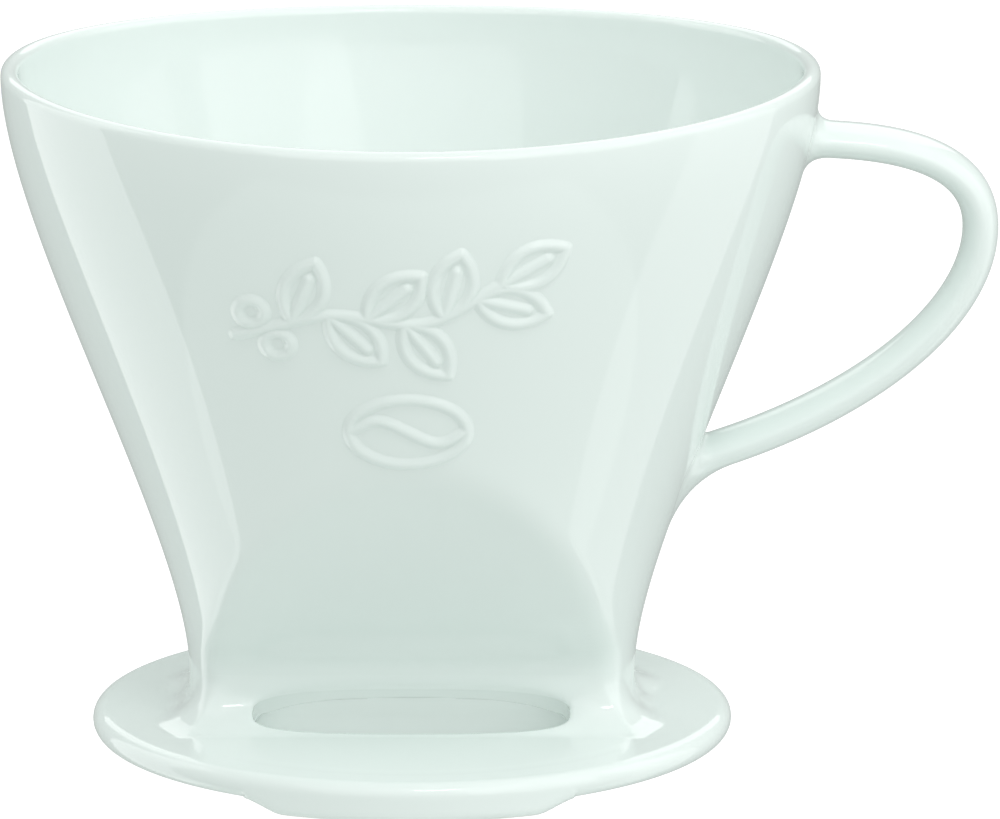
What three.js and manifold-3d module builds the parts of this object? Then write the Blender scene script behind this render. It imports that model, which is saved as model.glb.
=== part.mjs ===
// A one-cup-and-pot porcelain pour over dripper, in millimetres, +Z up.
//
// The cone, the base plate and the handle are three castings that are luted together.
// A leaf relief and a bean relief are moulded separately and sprigged on to the front.
// The frame's origin is on the cone's axis, in the plane that the dripper stands on.
// The handle is on the +X side and the sight window faces -Y.

import * as THREE from 'three';
import { mergeVertices } from 'three/addons/utils/BufferGeometryUtils.js';
import Module from 'manifold-3d';

const wasm = await Module();
wasm.setup();

// ---- driving dimensions ---------------------------------------------------------------

// Cone
const RIM_RADIUS = 65.2;
const RIM_HEIGHT = 111.2;
const RIM_DIP = 2.1; // how far the lip drops at the front and the back
const LIP_THICKNESS = 2.8;
const WALL = 4.5; // at the foot; it thins towards the lip
const FOOT_RADIUS = 36;
const FOOT_LEAN = 0.3; // how far the wall leans out before it flares
const FOOT_RISE = 22.4; // length of that nearly upright stretch
const RIM_RISE = 23; // length of the nearly upright stretch below the lip
const FACET_HALF_DEPTH = 6.9; // the two flat facets' half depth where they meet the plate
const FACET_LEAN = THREE.MathUtils.degToRad(40.2); // from the vertical
const FLOOR_HEIGHT = 9.5; // top of the floor that the paper stands on
const SLOT_HALF_LENGTH = 27.5; // of that floor

// Foot of the cone, inside the base plate
const SEAM_HEIGHT = 12.4; // where the cone's shoulder rests on the plate's collar
const FOOT_STEP = 3; // how far the foot is set in below the shoulder
const OUTLET_HALF_LENGTH = 24; // of the boss that reaches down to the table plane

// Drip holes
const HOLE_DIAMETER = 4;
const HOLE_SPACING = 24;

// Inner ribs
const RIB_COUNT = 12;
const RIB_WIDTH = 2.2;
const RIB_HEIGHT = 1.3;
const RIB_TOP = 82;

// Base plate
const PLATE_RADIUS = 51.6;
const PLATE_THICKNESS = 4.2;
const FACET_FILLET = 7.5; // between a facet and the plate
const SIDE_FILLET = 4; // between the round wall and the plate

// Lugs under the plate's edge, front and back
const LUG_HEIGHT = 2;
const LUG_WIDTH = 40;
const LUG_DEPTH = 5.5;
const LUG_END_RADIUS = 6.5;

// Sight window, cut through the front fillet and the plate
const WINDOW_WIDTH = 50.8;
const WINDOW_REACH = 20.7; // its front edge, from the axis
const WINDOW_CORNER = 6;

// Handle
const HANDLE_REACH = 28.6; // how far it stands out past the rim
const HANDLE_THICKNESS = 5.7;
const HANDLE_DEPTH = 12;
const HANDLE_TOP_DROP = 12.3; // from the rim down to the upper joint's centre
const HANDLE_BOW_DROP = 26.6; // from the rim down to the outermost point
const HANDLE_LOW = 46.4; // height of the lower joint's centre
const HANDLE_FLARE = 3.2; // how far each joint spreads over the wall

// Reliefs
const RELIEF_HEIGHT = 0.7;
const STROKE = 1.8;
const LEAF_RELIEF_DROP = 26.7; // from the rim down to its centre
const LEAF_RELIEF_WIDTH = 53;
const BEAN_RELIEF_DROP = 47.7;
const BEAN_LENGTH = 20;
const BEAN_WIDTH = 13.4;

// Clearances
const GAP = 0.3; // between luted faces
const MARGIN = 5; // how far a cutting solid runs past what it cuts
const FLOOR_SINK = 0.5; // the same, under the hollow's floor

// Fineness
const TURN = 64;
const ARC = 5;
const OUTER_STEPS = 20;
const INNER_STEPS = 9;

// ---- derived dimensions ---------------------------------------------------------------

const PLATE_TOP = LUG_HEIGHT + PLATE_THICKNESS;
const FOOT_INSET_RADIUS = FOOT_RADIUS - FOOT_STEP;
const LIP_RADIUS = LIP_THICKNESS / 2;
const LIP_SPRING = RIM_HEIGHT - LIP_RADIUS; // where the lip's rounding starts
const FACET_SLOPE = Math.tan(FACET_LEAN);
const FACET_SKEW = 1 / Math.cos(FACET_LEAN); // wall thickness to horizontal depth
const FILLET_SPAN = FACET_FILLET / Math.tan((Math.PI / 2 - FACET_LEAN) / 2);
const FILLET_CENTRE_DEPTH = FACET_HALF_DEPTH + FILLET_SPAN;
const FILLET_CENTRE_HEIGHT = PLATE_TOP + FACET_FILLET;
const FILLET_TOP = PLATE_TOP + FILLET_SPAN * Math.cos(FACET_LEAN);

// ---- solids ---------------------------------------------------------------------------

function toSolid(geometry) {
  const bare = geometry.clone();
  bare.deleteAttribute('normal');
  bare.deleteAttribute('uv');
  const merged = mergeVertices(bare, 1e-5);
  const mesh = new wasm.Mesh({
    numProp: 3,
    vertProperties: new Float32Array(merged.attributes.position.array),
    triVerts: new Uint32Array(merged.index.array),
  });
  mesh.merge();
  return new wasm.Manifold(mesh);
}

function toGeometry(solid) {
  const mesh = solid.getMesh();
  const geometry = new THREE.BufferGeometry();
  geometry.setAttribute('position', new THREE.BufferAttribute(mesh.vertProperties, 3));
  geometry.setIndex(new THREE.BufferAttribute(mesh.triVerts, 1));
  geometry.computeVertexNormals();
  return geometry;
}

// Points are (radius, height), from the bottom of the axis to its top.
function turned(points) {
  const geometry = new THREE.LatheGeometry(points, TURN);
  geometry.rotateX(Math.PI / 2);
  return geometry;
}

// The shape is drawn in (Y, Z) and runs along X.
function alongX(shape, halfLength) {
  const geometry = new THREE.ExtrudeGeometry(shape, { depth: 2 * halfLength, bevelEnabled: false });
  geometry.translate(0, 0, -halfLength);
  const basis = new THREE.Matrix4().makeBasis(
    new THREE.Vector3(0, 1, 0),
    new THREE.Vector3(0, 0, 1),
    new THREE.Vector3(1, 0, 0),
  );
  geometry.applyMatrix4(basis);
  return geometry;
}

// The shape is drawn in (X, Z) and runs along Y, between two places.
function alongY(shape, from, to) {
  const geometry = new THREE.ExtrudeGeometry(shape, {
    depth: to - from,
    bevelEnabled: false,
    curveSegments: ARC,
  });
  geometry.rotateX(Math.PI / 2);
  geometry.translate(0, to, 0);
  return geometry;
}

// The shape is drawn in (X, Y) and runs up, between two heights.
function alongZ(shape, from, to) {
  const geometry = new THREE.ExtrudeGeometry(shape, {
    depth: to - from,
    bevelEnabled: false,
    curveSegments: ARC,
  });
  geometry.translate(0, 0, from);
  return geometry;
}

function arc(centreX, centreY, radius, from, to) {
  const curve = new THREE.EllipseCurve(centreX, centreY, radius, radius, from, to, to < from);
  return curve.getPoints(ARC);
}

// The lip is a saddle: whatever is near the rim drops with the square of its Y.
function saddled(geometry) {
  const position = geometry.attributes.position;
  for (let i = 0; i < position.count; i += 1) {
    const share = THREE.MathUtils.smoothstep(position.getZ(i), SEAM_HEIGHT, LIP_SPRING);
    const depth = Math.min(Math.abs(position.getY(i)) / RIM_RADIUS, 1);
    position.setZ(i, position.getZ(i) - RIM_DIP * share * depth * depth);
  }
  return geometry;
}

// ---- cone -----------------------------------------------------------------------------

// The round wall's S-curve, from the shoulder to the lip, at a distance inside its outside.
function wallCurve(footInset, rimInset) {
  return new THREE.CubicBezierCurve(
    new THREE.Vector2(FOOT_RADIUS - footInset, SEAM_HEIGHT),
    new THREE.Vector2(FOOT_RADIUS - footInset + FOOT_LEAN, SEAM_HEIGHT + FOOT_RISE),
    new THREE.Vector2(RIM_RADIUS - rimInset, LIP_SPRING - RIM_RISE),
    new THREE.Vector2(RIM_RADIUS - rimInset, LIP_SPRING),
  );
}

function wallRadius(height) {
  const curve = wallCurve(0, 0);
  let low = 0;
  let high = 1;
  for (let i = 0; i < 30; i += 1) {
    const middle = (low + high) / 2;
    if (curve.getPoint(middle).y < height) {
      low = middle;
    } else {
      high = middle;
    }
  }
  return curve.getPoint(low).x;
}

// Half the distance between the two facets, at a height.
function facetHalfDepth(height) {
  return FACET_HALF_DEPTH + Math.max(height - PLATE_TOP, 0) * FACET_SLOPE;
}

// A prism between the two facets, upright below the plate's top. It starts at a height.
function facetPrism(grow, bottom) {
  const corners = [bottom, PLATE_TOP, RIM_HEIGHT + MARGIN];
  const heights = corners.filter((height) => height >= bottom);
  const front = heights.map((height) => (
    new THREE.Vector2(facetHalfDepth(height) + grow * FACET_SKEW, height)
  ));
  const back = front.map((point) => new THREE.Vector2(-point.x, point.y)).reverse();
  return toSolid(alongX(new THREE.Shape([...front, ...back]), RIM_RADIUS + MARGIN));
}

// The side view of the two concave fillets that spread the facets over the plate,
// between two heights. Their hollow side is left out of the shape.
function filletPrism(from, to) {
  const steps = 2 * ARC;
  const outline = [];
  for (let i = 0; i <= steps; i += 1) {
    const height = from + ((to - from) * i) / steps;
    const rise = height - FILLET_CENTRE_HEIGHT;
    const hollow = Math.sqrt(Math.max(FACET_FILLET ** 2 - rise ** 2, 0));
    outline.push(new THREE.Vector2(FILLET_CENTRE_DEPTH - hollow, height));
  }
  const mirrored = outline.map((point) => new THREE.Vector2(-point.x, point.y)).reverse();
  return toSolid(alongX(new THREE.Shape([...outline, ...mirrored]), RIM_RADIUS + MARGIN));
}

// The foot and the outlet boss, with room around them where grow is a clearance.
function footSolid(grow) {
  const points = [
    new THREE.Vector2(0, -grow),
    new THREE.Vector2(OUTLET_HALF_LENGTH + grow, -grow),
    new THREE.Vector2(OUTLET_HALF_LENGTH + grow, LUG_HEIGHT - grow),
    new THREE.Vector2(FOOT_INSET_RADIUS + grow, LUG_HEIGHT - grow),
    new THREE.Vector2(FOOT_INSET_RADIUS + grow, SEAM_HEIGHT),
    new THREE.Vector2(0, SEAM_HEIGHT),
  ];
  return toSolid(turned(points)).intersect(facetPrism(grow, -MARGIN));
}

// The cone above its shoulder, as if it were solid.
function coneSolid(grow) {
  const wall = wallCurve(-grow, -grow).getPoints(OUTER_STEPS);
  const lip = arc(RIM_RADIUS - LIP_RADIUS, LIP_SPRING, LIP_RADIUS + grow, 0, Math.PI / 2).slice(1);
  const bottom = SEAM_HEIGHT - grow;
  const points = [
    new THREE.Vector2(0, bottom),
    new THREE.Vector2(FOOT_RADIUS + grow, bottom),
    ...wall.slice(grow > 0 ? 0 : 1),
    ...lip,
    new THREE.Vector2(0, RIM_HEIGHT + grow),
  ];
  const facets = facetPrism(grow, -MARGIN).add(filletPrism(SEAM_HEIGHT - MARGIN / 2, FILLET_TOP));
  return toSolid(saddled(turned(points))).intersect(facets);
}

// What is hollow inside the cone. A rib's inset moves its walls in.
function hollowSolid(inset) {
  const wall = wallCurve(WALL + inset, LIP_THICKNESS + inset).getPoints(INNER_STEPS);
  const lip = inset > 0
    ? [new THREE.Vector2(RIM_RADIUS - LIP_THICKNESS - inset, RIM_HEIGHT)]
    : arc(RIM_RADIUS - LIP_RADIUS, LIP_SPRING, LIP_RADIUS, Math.PI, Math.PI / 2).slice(1);
  const edge = lip[lip.length - 1].x;
  const points = [
    new THREE.Vector2(0, FLOOR_HEIGHT),
    new THREE.Vector2(SLOT_HALF_LENGTH - inset, FLOOR_HEIGHT),
    ...wall,
    ...lip,
    new THREE.Vector2(edge, RIM_HEIGHT + MARGIN),
    new THREE.Vector2(0, RIM_HEIGHT + MARGIN),
  ];
  return toSolid(saddled(turned(points))).intersect(facetPrism(-WALL - inset, FLOOR_HEIGHT - FLOOR_SINK));
}

function ribSlabs() {
  const length = RIM_RADIUS;
  const middle = (FLOOR_HEIGHT + RIB_TOP) / 2;
  let slabs = null;
  for (let i = 0; i < RIB_COUNT; i += 1) {
    const slab = new THREE.BoxGeometry(length, RIB_WIDTH, RIB_TOP - FLOOR_HEIGHT + MARGIN);
    slab.translate(length / 2 + RIB_WIDTH, 0, middle - MARGIN / 2);
    slab.rotateZ(((i + 0.5) * 2 * Math.PI) / RIB_COUNT);
    slabs = slabs ? slabs.add(toSolid(slab)) : toSolid(slab);
  }
  return slabs;
}

function dripHoles() {
  const holes = [-1, 1].map((side) => {
    const hole = new THREE.CylinderGeometry(
      HOLE_DIAMETER / 2,
      HOLE_DIAMETER / 2,
      FLOOR_HEIGHT + 2 * MARGIN,
      4 * ARC,
    );
    hole.rotateX(Math.PI / 2);
    hole.translate((side * HOLE_SPACING) / 2, 0, FLOOR_HEIGHT / 2);
    return toSolid(hole);
  });
  return holes[0].add(holes[1]);
}

function funnel() {
  const betweenRibs = hollowSolid(0).subtract(ribSlabs());
  const outside = coneSolid(0).add(footSolid(0));
  return outside.subtract(betweenRibs.add(hollowSolid(RIB_HEIGHT))).subtract(dripHoles());
}

// ---- base plate -----------------------------------------------------------------------

function plateDisc() {
  const edge = PLATE_THICKNESS / 2;
  const rounding = arc(
    PLATE_RADIUS - edge,
    LUG_HEIGHT + edge,
    edge,
    -Math.PI / 2,
    0,
  ).concat(arc(PLATE_RADIUS - edge, LUG_HEIGHT + edge, edge, 0, Math.PI / 2).slice(1));
  const points = [
    new THREE.Vector2(0, LUG_HEIGHT),
    ...rounding,
    new THREE.Vector2(0, PLATE_TOP),
  ];
  return toSolid(turned(points));
}

// The collar stands on the plate and the cone's shoulder rests on it.
function collar() {
  const foot = PLATE_TOP - 1;
  const top = SEAM_HEIGHT - GAP;
  const spread = FOOT_RADIUS + SIDE_FILLET;
  const side = arc(spread, PLATE_TOP + SIDE_FILLET, SIDE_FILLET, -Math.PI / 2, -Math.PI);
  const points = [
    new THREE.Vector2(0, foot),
    new THREE.Vector2(spread, foot),
    ...side,
    new THREE.Vector2(FOOT_RADIUS, top),
    new THREE.Vector2(0, top),
  ];
  const root = alongX(
    new THREE.Shape([
      new THREE.Vector2(-FILLET_CENTRE_DEPTH, foot - 1),
      new THREE.Vector2(FILLET_CENTRE_DEPTH, foot - 1),
      new THREE.Vector2(FILLET_CENTRE_DEPTH, PLATE_TOP),
      new THREE.Vector2(-FILLET_CENTRE_DEPTH, PLATE_TOP),
    ]),
    RIM_RADIUS,
  );
  const fillets = toSolid(root).add(filletPrism(PLATE_TOP, FILLET_TOP));
  return toSolid(turned(points)).intersect(fillets);
}

// One lug follows the plate's edge and stands as high as the outlet boss.
function lug(side) {
  const half = LUG_WIDTH / 2;
  const front = new THREE.Shape();
  front.moveTo(-half, 0);
  front.lineTo(half, 0);
  front.quadraticCurveTo(half + LUG_END_RADIUS / 3, LUG_HEIGHT, half + LUG_END_RADIUS, LUG_HEIGHT);
  front.lineTo(half + LUG_END_RADIUS, LUG_HEIGHT + PLATE_THICKNESS / 2);
  front.lineTo(-half - LUG_END_RADIUS, LUG_HEIGHT + PLATE_THICKNESS / 2);
  front.lineTo(-half - LUG_END_RADIUS, LUG_HEIGHT);
  front.quadraticCurveTo(-half - LUG_END_RADIUS / 3, LUG_HEIGHT, -half, 0);
  const near = Math.min(0, side * (PLATE_RADIUS + MARGIN));
  const far = Math.max(0, side * (PLATE_RADIUS + MARGIN));
  const rounding = LUG_HEIGHT / 2;
  const ring = [
    new THREE.Vector2(PLATE_RADIUS - LUG_DEPTH, 0),
    ...arc(PLATE_RADIUS - rounding, rounding, rounding, -Math.PI / 2, 0),
    new THREE.Vector2(PLATE_RADIUS, LUG_HEIGHT + PLATE_THICKNESS / 2),
    new THREE.Vector2(PLATE_RADIUS - LUG_DEPTH, LUG_HEIGHT + PLATE_THICKNESS / 2),
    new THREE.Vector2(PLATE_RADIUS - LUG_DEPTH, 0),
  ];
  return toSolid(turned(ring)).intersect(toSolid(alongY(front, near, far)));
}

function sightWindow() {
  const half = WINDOW_WIDTH / 2;
  const shape = new THREE.Shape();
  shape.moveTo(half, 0);
  shape.lineTo(-half, 0);
  shape.lineTo(-half, -WINDOW_REACH + WINDOW_CORNER);
  shape.quadraticCurveTo(-half, -WINDOW_REACH, -half + WINDOW_CORNER, -WINDOW_REACH);
  shape.lineTo(half - WINDOW_CORNER, -WINDOW_REACH);
  shape.quadraticCurveTo(half, -WINDOW_REACH, half, -WINDOW_REACH + WINDOW_CORNER);
  return toSolid(alongZ(shape, -MARGIN, SEAM_HEIGHT + MARGIN));
}

function basePlate() {
  const body = plateDisc().add(collar()).add(lug(-1)).add(lug(1));
  return body.subtract(footSolid(GAP)).subtract(sightWindow());
}

// ---- handle ---------------------------------------------------------------------------

function handlePath() {
  const topHeight = RIM_HEIGHT - HANDLE_TOP_DROP;
  const bowHeight = RIM_HEIGHT - HANDLE_BOW_DROP;
  const bowX = RIM_RADIUS + HANDLE_REACH - HANDLE_THICKNESS / 2;
  const topRoot = wallRadius(topHeight) - HANDLE_THICKNESS / 2;
  const lowRoot = wallRadius(HANDLE_LOW) - HANDLE_THICKNESS / 2;
  const topPull = 0.55 * (bowX - topRoot);
  const lowPull = 0.6 * (bowX - lowRoot);
  const topDrop = topHeight - bowHeight;
  const lowDrop = bowHeight - HANDLE_LOW;
  const path = new THREE.CurvePath();
  path.add(new THREE.CubicBezierCurve(
    new THREE.Vector2(topRoot, topHeight),
    new THREE.Vector2(topRoot + topPull, topHeight),
    new THREE.Vector2(bowX, bowHeight + 0.8 * topDrop),
    new THREE.Vector2(bowX, bowHeight),
  ));
  path.add(new THREE.CubicBezierCurve(
    new THREE.Vector2(bowX, bowHeight),
    new THREE.Vector2(bowX, bowHeight - 0.38 * lowDrop),
    new THREE.Vector2(lowRoot + lowPull, HANDLE_LOW + 0.21 * lowDrop),
    new THREE.Vector2(lowRoot, HANDLE_LOW),
  ));
  return path;
}

// An oval bar, drawn straight, is laid along the path and spreads at its two ends.
function handle() {
  const path = handlePath();
  const length = path.getLength();
  const section = new THREE.Shape();
  section.absellipse(0, 0, HANDLE_THICKNESS / 2, HANDLE_DEPTH / 2, 0, 2 * Math.PI);
  const bar = new THREE.ExtrudeGeometry(section, {
    depth: 1,
    steps: 36,
    bevelEnabled: false,
    curveSegments: 10,
  });
  const root = HANDLE_THICKNESS / 2; // the path starts this far inside the wall
  const position = bar.attributes.position;
  for (let i = 0; i < position.count; i += 1) {
    const along = Math.min(Math.max(position.getZ(i), 0), 1);
    const point = path.getPointAt(along);
    const tangent = path.getTangentAt(along);
    const toEnd = Math.min(along, 1 - along) * length - root;
    const nearness = Math.min(Math.max(1 - toEnd / (2 * HANDLE_FLARE), 0), 1.1);
    const spread = HANDLE_FLARE * nearness ** 2;
    const thin = position.getX(i) * (1 + spread / (HANDLE_THICKNESS / 2));
    const deep = position.getY(i) * (1 + spread / (HANDLE_DEPTH / 2));
    position.setXYZ(i, point.x + tangent.y * thin, deep, point.y - tangent.x * thin);
  }
  return toSolid(bar).subtract(coneSolid(GAP));
}

// ---- reliefs --------------------------------------------------------------------------

function placed(points, x, z, angle) {
  const centre = new THREE.Vector2(0, 0);
  const shift = new THREE.Vector2(x, z);
  return points.map((point) => point.clone().rotateAround(centre, angle).add(shift));
}

function leafOutline(length, width) {
  const tip = new THREE.Vector2(length, 0);
  const base = new THREE.Vector2(0, 0);
  const upper = new THREE.QuadraticBezierCurve(base, new THREE.Vector2(length / 2, width), tip);
  const lower = new THREE.QuadraticBezierCurve(tip, new THREE.Vector2(length / 2, -width), base);
  return [...lower.getPoints(ARC).slice(0, -1).reverse(), ...upper.getPoints(ARC).slice(0, -1).reverse()];
}

function leafStroke(length, width, x, z, angle) {
  const shape = new THREE.Shape(placed(leafOutline(length, width), x, z, angle));
  const inset = 1.6 * STROKE;
  const inner = placed(leafOutline(length - 2 * inset, width - 1.3 * STROKE), inset, 0, 0);
  shape.holes.push(new THREE.Path(placed(inner, x, z, angle)));
  return shape;
}

// A stroke of even width along a curve.
function ribbon(curve, steps) {
  const left = [];
  const right = [];
  for (let i = 0; i <= steps; i += 1) {
    const point = curve.getPointAt(i / steps);
    const tangent = curve.getTangentAt(i / steps);
    const side = new THREE.Vector2(-tangent.y, tangent.x).multiplyScalar(STROKE / 2);
    left.push(point.clone().add(side));
    right.unshift(point.clone().sub(side));
  }
  return new THREE.Shape([...right.reverse(), ...left.reverse()]);
}

// The strokes, cut out of a thin skin that lies on the front of the cone.
function onWall(shapes) {
  const skin = coneSolid(GAP + RELIEF_HEIGHT).subtract(coneSolid(GAP));
  const strokes = shapes.map((shape) => toSolid(alongY(shape, -RIM_RADIUS - MARGIN, 0)));
  const drawing = strokes.reduce((joined, stroke) => joined.add(stroke));
  return skin.intersect(drawing);
}

// A twig of leaves with two round berries near its lower end.
function leafRelief() {
  const middle = RIM_HEIGHT - LEAF_RELIEF_DROP;
  const half = LEAF_RELIEF_WIDTH / 2;
  const leafLength = LEAF_RELIEF_WIDTH / 4.4;
  const leafCount = 6;
  const twig = new THREE.SplineCurve([
    new THREE.Vector2(-half, middle - 0.2 * half),
    new THREE.Vector2(-0.45 * half, middle - 0.02 * half),
    new THREE.Vector2(0.1 * half, middle - 0.06 * half),
    new THREE.Vector2(half - leafLength, middle + 0.18 * half),
  ]);
  const shapes = [ribbon(twig, 18)];
  for (let i = 0; i < leafCount; i += 1) {
    const along = 0.22 + (0.68 * i) / (leafCount - 1);
    const side = i % 2 ? -1 : 1;
    const root = twig.getPointAt(along);
    const tangent = twig.getTangentAt(along);
    const angle = Math.atan2(tangent.y, tangent.x) + side * 0.9;
    shapes.push(leafStroke(leafLength, 0.45 * leafLength, root.x, root.y, angle));
  }
  const tip = twig.getPointAt(1);
  const heading = twig.getTangentAt(1);
  const lean = Math.atan2(heading.y, heading.x);
  shapes.push(leafStroke(leafLength, 0.45 * leafLength, tip.x - STROKE / 2, tip.y, lean));
  [0.06, 0.16].forEach((along, i) => {
    const root = twig.getPointAt(along);
    const berry = new THREE.Shape();
    const centreY = root.y + (i ? -1 : 1) * 1.9 * STROKE;
    berry.absarc(root.x, centreY, 1.6 * STROKE, 0, 2 * Math.PI);
    const hollow = new THREE.Path();
    hollow.absarc(root.x, centreY, 0.7 * STROKE, 0, 2 * Math.PI, true);
    berry.holes.push(hollow);
    shapes.push(berry);
  });
  return onWall(shapes);
}

// An oval bean with its curved crease.
function beanRelief() {
  const middle = RIM_HEIGHT - BEAN_RELIEF_DROP;
  const long = BEAN_LENGTH / 2;
  const short = BEAN_WIDTH / 2;
  const bean = new THREE.Shape();
  bean.absellipse(0, middle, long, short, 0, 2 * Math.PI);
  const hollow = new THREE.Path();
  hollow.absellipse(0, middle, long - STROKE, short - STROKE, 0, 2 * Math.PI, true);
  bean.holes.push(hollow);
  const crease = new THREE.SplineCurve([
    new THREE.Vector2(-long + STROKE / 2, middle),
    new THREE.Vector2(-long / 2.4, middle + short / 3.2),
    new THREE.Vector2(long / 2.4, middle - short / 3.2),
    new THREE.Vector2(long - STROKE / 2, middle),
  ]);
  return onWall([bean, ribbon(crease, 14)]);
}

// ---- assembly -------------------------------------------------------------------------

function glazed(color) {
  return new THREE.MeshStandardMaterial({ color, roughness: 0.12, metalness: 0 });
}

const dripper = new THREE.Group();

function addPart(name, solid, color) {
  const mesh = new THREE.Mesh(toGeometry(solid), glazed(color));
  mesh.name = name;
  dripper.add(mesh);
}

addPart('funnel', funnel(), 0xe9efec);
addPart('base_plate', basePlate(), 0xe6edea);
addPart('handle', handle(), 0xebf0ee);
addPart('leaf_relief', leafRelief(), 0xeef2f0);
addPart('bean_relief', beanRelief(), 0xeef2f0);

export default dripper;
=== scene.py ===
"""A glazed porcelain pour over dripper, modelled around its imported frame.

The cone, the base plate and the handle are turned, cast and luted surfaces with soft, glaze-filled
edges. One set of formulas gives the outer skin, so the pieces meet without a visible joint.
"""

from math import cos, pi, radians, sin, tan

import bmesh
import bpy
import numpy as np
from bpy.props import FloatProperty, FloatVectorProperty, IntProperty, PointerProperty
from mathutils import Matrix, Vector


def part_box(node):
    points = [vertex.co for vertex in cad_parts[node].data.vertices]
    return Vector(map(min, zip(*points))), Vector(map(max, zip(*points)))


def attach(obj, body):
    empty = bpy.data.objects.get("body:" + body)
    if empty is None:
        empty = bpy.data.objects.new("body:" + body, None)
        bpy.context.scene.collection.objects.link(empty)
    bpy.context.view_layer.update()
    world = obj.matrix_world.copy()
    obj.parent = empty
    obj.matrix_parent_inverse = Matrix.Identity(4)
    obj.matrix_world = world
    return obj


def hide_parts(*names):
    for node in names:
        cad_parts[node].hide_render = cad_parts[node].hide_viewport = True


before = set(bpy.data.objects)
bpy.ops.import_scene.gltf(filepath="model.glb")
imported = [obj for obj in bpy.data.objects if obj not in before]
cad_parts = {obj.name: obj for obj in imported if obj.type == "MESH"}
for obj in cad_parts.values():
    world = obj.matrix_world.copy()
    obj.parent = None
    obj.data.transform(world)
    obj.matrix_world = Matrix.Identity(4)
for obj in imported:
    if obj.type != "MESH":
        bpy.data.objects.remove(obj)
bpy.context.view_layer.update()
FUNNEL_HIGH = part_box("funnel")[1]
PLATE_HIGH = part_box("base_plate")[1]
HANDLE_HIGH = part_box("handle")[1]

bl_info = {
    "name": "Porcelain Dripper",
    "version": (1, 0, 0),
    "blender": (4, 5, 0),
    "location": "View3D > Sidebar > Dripper",
    "description": "Models a porcelain pour over dripper and its stage, piece by piece",
    "category": "Add Mesh",
}

BODY = "root"
MM = 0.001
SEAM = 14.6 * MM  # where the cone's skin hands over to the plate's collar
WINDOW_MIDDLE = (-18.2 * MM, 9.5 * MM)  # Y and height, on the front fillet
WINDOW_LEAN = radians(30)  # how steeply the window's tunnel runs down
WINDOW_HALF_HEIGHT = 4.05 * MM
THROAT_TOP = 5.5 * MM  # top of the opening under the window
FOOT_CORNER = 2.2 * MM  # rounding of the foot's upright corners
FLOOR_CORNER = 2.5 * MM  # rounding between the wall's inside and the floor
VOXEL = 0.55 * MM  # size of the base plate's even mesh
CONE_STEPS = 372  # columns round the cone
TINT = (0.93, 1, 0.965)  # of the light that comes from the surroundings


def length(name, description, default):
    """A size that a user would change."""
    return FloatProperty(
        name=name, description=description, default=default, unit="LENGTH", precision=5
    )


def colour(name, description, default):
    """A colour that a user would change."""
    return FloatVectorProperty(
        name=name, description=description, default=default, subtype="COLOR", min=0, max=1
    )


class ConeSettings(bpy.types.PropertyGroup):
    """Sizes of the cone that holds the paper filter."""

    rim_radius: length("Rim radius", "Outside of the lip", FUNNEL_HIGH.x)
    rim_height: length("Rim height", "Top of the lip above the table", FUNNEL_HIGH.z)
    rim_dip: length("Rim dip", "How far the lip drops at the front and the back", 2.1 * MM)
    lip: length("Lip", "Thickness of the wall at the lip", 2.8 * MM)
    wall: length("Wall", "Thickness of the wall at the foot", 4.5 * MM)
    foot_radius: length("Foot radius", "Outside of the round wall at its foot", 36 * MM)
    foot_lean: length("Foot lean", "How far the wall leans out before it flares", 0.3 * MM)
    foot_rise: length("Foot rise", "Length of the nearly upright stretch at the foot", 22.4 * MM)
    rim_rise: length("Rim rise", "Length of the nearly upright stretch below the lip", 23 * MM)
    seam_height: length("Seam height", "Where the cone rests on the collar", 12.4 * MM)
    foot_step: length("Foot step", "How far the foot is set in below the shoulder", 3 * MM)
    outlet_radius: length("Outlet radius", "Half length of the boss with the drip holes", 24 * MM)
    facet_half_depth: length("Facet half depth", "From the axis to a facet at the plate", 6.9 * MM)
    facet_lean: FloatProperty(
        name="Facet lean",
        description="Angle of the flat facets from the vertical",
        default=radians(40.2),
        subtype="ANGLE",
    )
    crease: length("Crease softness", "Width over which wall and facet run together", 1.2 * MM)
    floor_height: length("Floor height", "Top of the floor that the paper stands on", 9.5 * MM)
    slot_half_length: length("Slot half length", "Half length of that floor", 27.5 * MM)
    rib_count: IntProperty(name="Ribs", description="Ribs inside the cone", default=12, min=0)
    rib_width: length("Rib width", "Width of a rib", 2.6 * MM)
    rib_height: length("Rib height", "How far a rib stands out", 1.3 * MM)
    rib_top: length("Rib top", "Where the ribs fade out", 82 * MM)
    hole_diameter: length("Drip hole", "Diameter of each drip hole", 4 * MM)
    hole_spacing: length("Drip hole spacing", "Between the middles of the two holes", 24 * MM)


class PlateSettings(bpy.types.PropertyGroup):
    """Sizes of the base plate, its fillets, its lugs and its sight window."""

    radius: length("Radius", "Outside of the plate", PLATE_HIGH.x)
    underside: length("Underside", "Height of the face that rests on a mug", 2 * MM)
    thickness: length("Thickness", "Thickness of the plate", 4.2 * MM)
    facet_fillet: length("Facet fillet", "Radius between a facet and the plate", 7.5 * MM)
    side_fillet: length("Side fillet", "Radius between the round wall and the plate", 4 * MM)
    lug_width: length("Lug width", "Flat length of a lug", 40 * MM)
    lug_end: length("Lug end", "Length over which a lug's end fades out", 6.5 * MM)
    lug_depth: length("Lug depth", "Depth of a lug from the plate's edge", 5.5 * MM)
    window_width: length("Window width", "Length of the sight window", 50.8 * MM)
    window_reach: length("Window reach", "Front edge of the window from the axis", 20.7 * MM)
    window_lip: length("Window lip", "Rounding of the window's edges", 1.2 * MM)


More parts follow.
